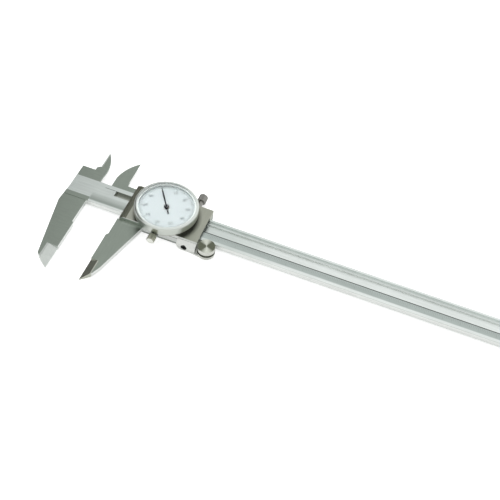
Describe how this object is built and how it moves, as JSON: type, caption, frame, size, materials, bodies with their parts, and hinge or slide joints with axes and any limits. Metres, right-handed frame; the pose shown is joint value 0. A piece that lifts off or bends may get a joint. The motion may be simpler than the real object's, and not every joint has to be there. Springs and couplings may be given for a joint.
{
  "type": "dial caliper",
  "caption": "Steel dial caliper with outside and inside jaws, a rack-driven dial on the slider, a thumb roller, a lock screw and a depth rod.",
  "frame": {"origin": "where the dial's axis meets the back face of the slider's cover plate, the face that it lies on", "axes": "+X along the beam to its free end, +Y towards the inside jaws, +Z out of the dial"},
  "size_m": [0.3073, 0.0917, 0.0149],
  "materials": {
    "beam_steel": "ground stainless steel, satin",
    "rack_steel": "hobbed stainless steel",
    "slider_steel": "satin stainless steel",
    "inner_steel": "turned steel",
    "screw_steel": "turned and knurled steel",
    "roller_steel": "turned stainless steel",
    "bezel_metal": "satin chrome plate",
    "brass": "turned brass",
    "dial_white": "matt white enamel with black print",
    "pointer_black": "black oxide",
    "crystal_clear": "clear, polished",
    "case_metal": "satin plated"
  },
  "bodies": {
    "beam": {"beam": "beam_steel", "rack": "rack_steel", "rack_pins": "rack_steel", "end_stop": "slider_steel", "end_stop_screws": "screw_steel"},
    "slider": {"slider": "slider_steel", "gib_strip": "brass", "gib_screws": "screw_steel", "lock_shoe": "brass", "back_plate": "slider_steel", "back_plate_screws": "screw_steel", "depth_rod": "inner_steel", "rod_rivets": "inner_steel", "dial_case": "case_metal", "case_screws": "screw_steel", "bearing_bushes": "brass", "bridge_pillars": "brass", "movement_bridge": "brass", "bridge_screws": "screw_steel", "bezel_clamp": "screw_steel", "roller_bracket": "slider_steel", "bracket_screw": "screw_steel", "roller_axle": "roller_steel"},
    "rack_arbor": {"rack_arbor": "inner_steel", "drive_wheel": "brass", "scissor_wheel": "brass", "scissor_spring": "inner_steel"},
    "pointer_arbor": {"centre_arbor": "inner_steel", "pointer": "pointer_black"},
    "bezel": {"bezel": "bezel_metal", "retaining_ring": "inner_steel", "dial_face": "dial_white", "crystal": "crystal_clear"},
    "thumb_roller": {"thumb_roller": "roller_steel"},
    "lock_screw": {"lock_screw": "screw_steel"},
    "bezel_clamp_screw": {"bezel_clamp_screw": "screw_steel"}
  },
  "joints": [
    {"name": "slide", "type": "slide", "parent": "beam", "child": "slider", "axis": [1, 0, 0], "range_m": [-0.01995, 0.18]},
    {"name": "rack_pinion_turn", "type": "hinge", "parent": "slider", "child": "rack_arbor", "pos_m": [0.00642, 0.00327, 0.006], "axis": [0, 0, 1], "range_deg": [-724, 6485]},
    {"name": "pointer_turn", "type": "hinge", "parent": "slider", "child": "pointer_arbor", "pos_m": [0, 0, 0.01], "axis": [0, 0, 1], "range_deg": [-32405, 3596]},
    {"name": "roller_turn", "type": "hinge", "parent": "slider", "child": "thumb_roller", "pos_m": [0.0297, -0.01305, 0.004], "axis": [0, 0, 1], "range_deg": [-234, 2068]},
    {"name": "bezel_turn", "type": "hinge", "parent": "slider", "child": "bezel", "pos_m": [0, 0, 0.012], "axis": [0, 0, 1], "continuous": true},
    {"name": "lock_screw_turn", "type": "hinge", "parent": "slider", "child": "lock_screw", "pos_m": [0.0138, 0.0133, 0.0034], "axis": [0, 1, 0], "range_deg": [-90, 720]},
    {"name": "clamp_screw_turn", "type": "hinge", "parent": "slider", "child": "bezel_clamp_screw", "pos_m": [0, -0.0183, 0.0085], "axis": [0, 1, 0], "range_deg": [-90, 540]}
  ],
  "couplings": [
    {"joint": "rack_pinion_turn", "follows": "slide", "rad_per_m": 628.32},
    {"joint": "pointer_turn", "follows": "slide", "rad_per_m": -3141.6},
    {"joint": "roller_turn", "follows": "slide", "rad_per_m": 200}
  ]
}
